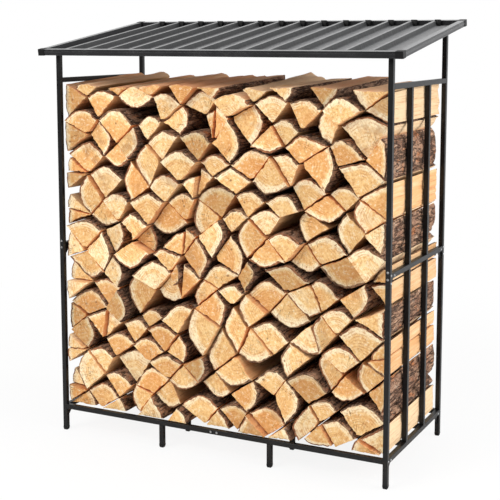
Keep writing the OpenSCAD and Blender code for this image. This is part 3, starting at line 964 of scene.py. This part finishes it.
def build_screws(name, places, material):
    """Screws as one piece. places gives a point and an axis for each."""
    verts, faces = [], []
    shape, sides = lathe(SCREW, SCREW_SIDES)
    for at, axis in places:
        turn = Vector((0, 0, 1)).rotation_difference(Vector(axis)).to_matrix()
        first = len(verts)
        verts += [tuple(Vector(at) + turn @ Vector(v)) for v in shape]
        faces += [tuple(first + k for k in f) for f in sides]
    add_piece(name, verts, faces, [material], SMALL_SHARP)


# Heights of the screws above the splice, on the front and rear faces of the posts and on
# their outer faces, and of the screw in the mid rail
SPLICE_FACES = (0.013, -0.009)
SPLICE_SIDES = (0.003, -0.021)
MID_RAIL = -0.001
# Heights of the screws above the middle of the bottom rail, on the post and beside it
BOTTOM_RAIL_POST = 0.001
BOTTOM_RAIL = -0.001
# Distances of the rail screws from the middle of the post, and of the screws on each side
# of the splice of the base rails
MID_RAIL_FROM_POST = 0.029
BOTTOM_RAIL_FROM_POST = 0.022
BASE_SPLICE = 0.011


def add_screws():
    """Screws at the splices of the posts and base rails and at the ends of the side rails."""
    low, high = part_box("post_front_right_lower")
    splice = high.z
    post_x = (low.x + high.x) / 2
    half = (high.x - low.x) / 2
    rear_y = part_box("post_rear_right_lower")[1].y
    base_low, base_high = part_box("front_rail_right")
    base_z = (base_low.z + base_high.z) / 2
    splices, joints, rails = [], [], []
    for side in (-1, 1):
        outwards = (side, 0, 0)
        outer_x = side * high.x
        for face, back in ((low.y, 1), (rear_y, -1)):
            for up in SPLICE_FACES:
                splices.append(((side * post_x, face, splice + up), (0, -back, 0)))
            y = face + back * half
            for up in SPLICE_SIDES:
                splices.append(((outer_x, y, splice + up), outwards))
            for inwards, z in ((MID_RAIL_FROM_POST, splice + MID_RAIL),
                               (0, base_z + BOTTOM_RAIL_POST),
                               (BOTTOM_RAIL_FROM_POST, base_z + BOTTOM_RAIL)):
                joints.append(((outer_x, y + back * inwards, z), outwards))
            rails.append(((side * BASE_SPLICE, face, base_z), (0, -back, 0)))
    steel = zinc()
    build_screws("post_splice_screws", splices, steel)
    build_screws("rail_joint_screws", joints, steel)
    build_screws("base_splice_screws", rails, steel)


# Studio lamps: name, place, what it is aimed at, size, watts and colour
LAMPS = (("key", (-1.6, -3.4, 3.2), (0, 0, 0.7), (2.4, 2.0), 126, (1, 0.985, 0.96)),
         ("side", (3.4, 0.2, 1.9), (0, 0, 0.7), (2.6, 2.2), 84, (0.96, 0.98, 1)))
# Light that the white room gives, how dark its front wall is in reflections, and where
# that wall begins and ends, as directions along Y
SKY = 0.7
DARK_FRONT = 0.12
FRONT_WALL = (-0.85, -0.1)
# The floor: its radius, number of sides and grey; the share of plain white that the
# camera sees near the object; and the distances between which that grows to all of it
FLOOR_RADIUS = 3.0
FLOOR_SIDES = 96
FLOOR_GREY = 0.86
NEAR_WHITE = 0.88
FADE = (0.8, 2.7)


def make_lamp(name, at, towards, size, watts, colour):
    """A rectangular area lamp."""
    data = bpy.data.lights.new(name, "AREA")
    data.shape = "RECTANGLE"
    data.size, data.size_y = size
    data.energy = watts
    data.color = colour
    made = link(data, name)
    made.location = at
    made.rotation_mode = "QUATERNION"
    made.rotation_quaternion = (Vector(towards) - Vector(at)).to_track_quat("-Z", "Y")


def make_world():
    """A white room, in which reflections see a darker front wall."""
    world = bpy.data.worlds.new("studio")
    scene.world = world
    world.use_nodes = True
    w = Nodes(world.node_tree)
    rays = w.nodes.new("ShaderNodeLightPath").outputs
    wall = w.between(w.parts(w.node("TexCoord", out="Generated"))[1], *FRONT_WALL, DARK_FRONT, 1.0)
    clear = w.math("MAXIMUM", rays["Is Camera Ray"], rays["Is Transmission Ray"])
    mirrored = w.times(rays["Is Glossy Ray"], wall)
    lit = w.less(1.0, w.math("MAXIMUM", clear, rays["Is Glossy Ray"]))
    strength = w.plus(w.math("MAXIMUM", clear, mirrored), w.times(lit, SKY))
    background = w.nodes["Background"]
    background.inputs[0].default_value = (1, 1, 1, 1)
    w.links.new(strength, background.inputs[1])


def make_floor():
    """A pale disc that keeps the shadow and fades to white."""
    mesh = bpy.data.meshes.new("floor")
    turns = [2 * math.pi * i / FLOOR_SIDES for i in range(FLOOR_SIDES)]
    rim = [(FLOOR_RADIUS * math.cos(a), FLOOR_RADIUS * math.sin(a), 0) for a in turns]
    mesh.from_pydata(rim, [], [tuple(range(FLOOR_SIDES))])
    floor = link(mesh, "floor")
    s = Shader("floor", Roughness=0.9, Specular_IOR_Level=0.1)
    x, y, _ = s.parts(s.position())
    away = s.length(s.join(x, y))
    white = s.node("Emission", {"Color": (1, 1, 1, 1), "Strength": 1.0})
    share = s.times(s.node("LightPath", out="Is Camera Ray"),
                    s.between(away, *FADE, NEAR_WHITE, 1.0))
    s.bsdf.inputs["Base Color"].default_value = (FLOOR_GREY, FLOOR_GREY, FLOOR_GREY, 1)
    blend = s.node("MixShader", {0: share, 1: s.bsdf.outputs[0], 2: white})
    s.links.new(blend, s.nodes["Material Output"].inputs[0])
    mesh.materials.append(s.material)


make_camera()
make_world()
for lamp in LAMPS:
    make_lamp(*lamp)
make_floor()
dress_frame()
build_firewood()
add_screws()

scene.view_settings.view_transform = "Standard"
